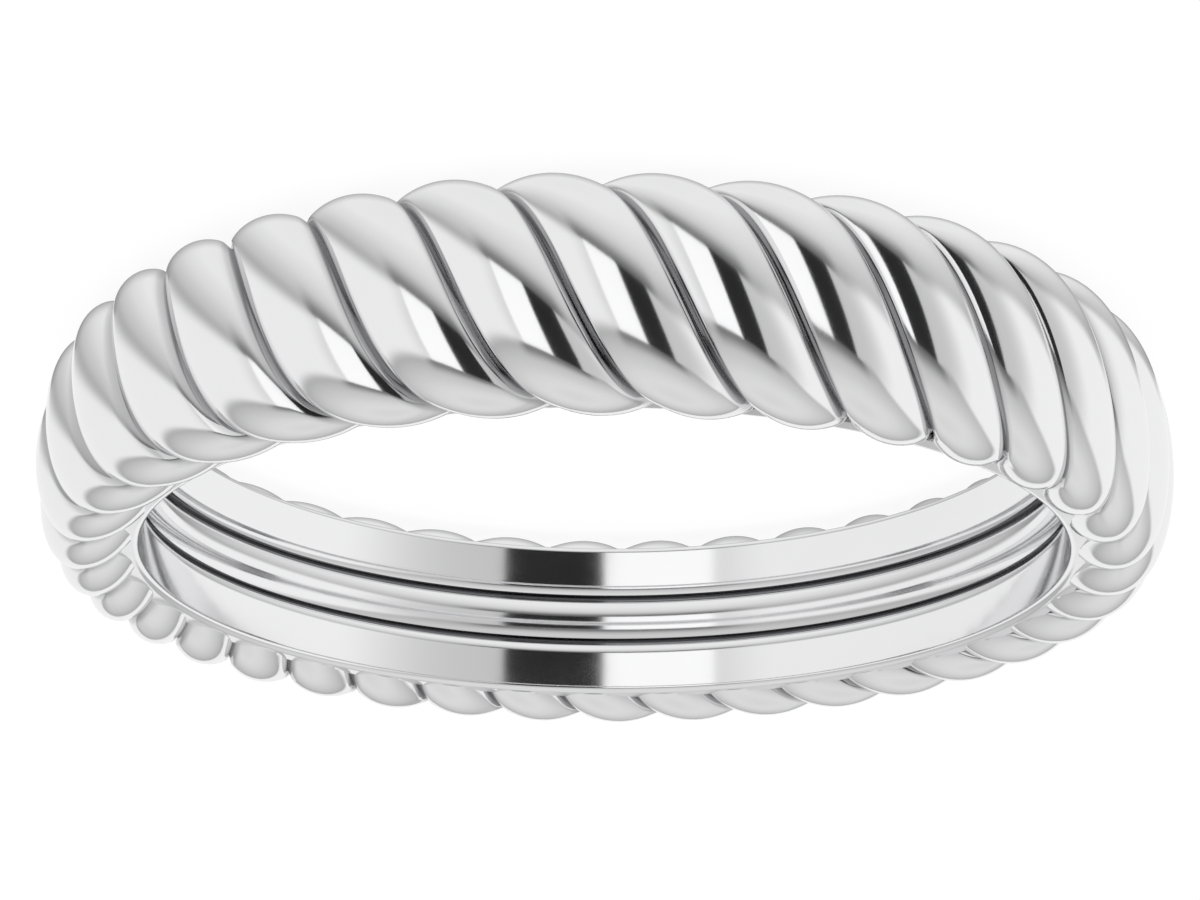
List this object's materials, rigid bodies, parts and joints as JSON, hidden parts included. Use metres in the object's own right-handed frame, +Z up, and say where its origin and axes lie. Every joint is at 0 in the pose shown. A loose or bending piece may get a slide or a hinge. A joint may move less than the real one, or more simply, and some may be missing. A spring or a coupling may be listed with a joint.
{
  "type": "rope twist ring",
  "caption": "Finger ring made as a thick twisted rope round a smooth lining, with a low rib between two fine grooves inside.",
  "frame": {"origin": "middle of the ring's underside, on the surface that it lies on", "axes": "+Z up along the finger's axis, X and Y across the ring"},
  "size_m": [0.0212, 0.0212, 0.0041],
  "materials": {
    "polished_metal": "mirror-polished white gold"
  },
  "bodies": {
    "root": {"rope_band": "polished_metal"}
  },
  "joints": []
}
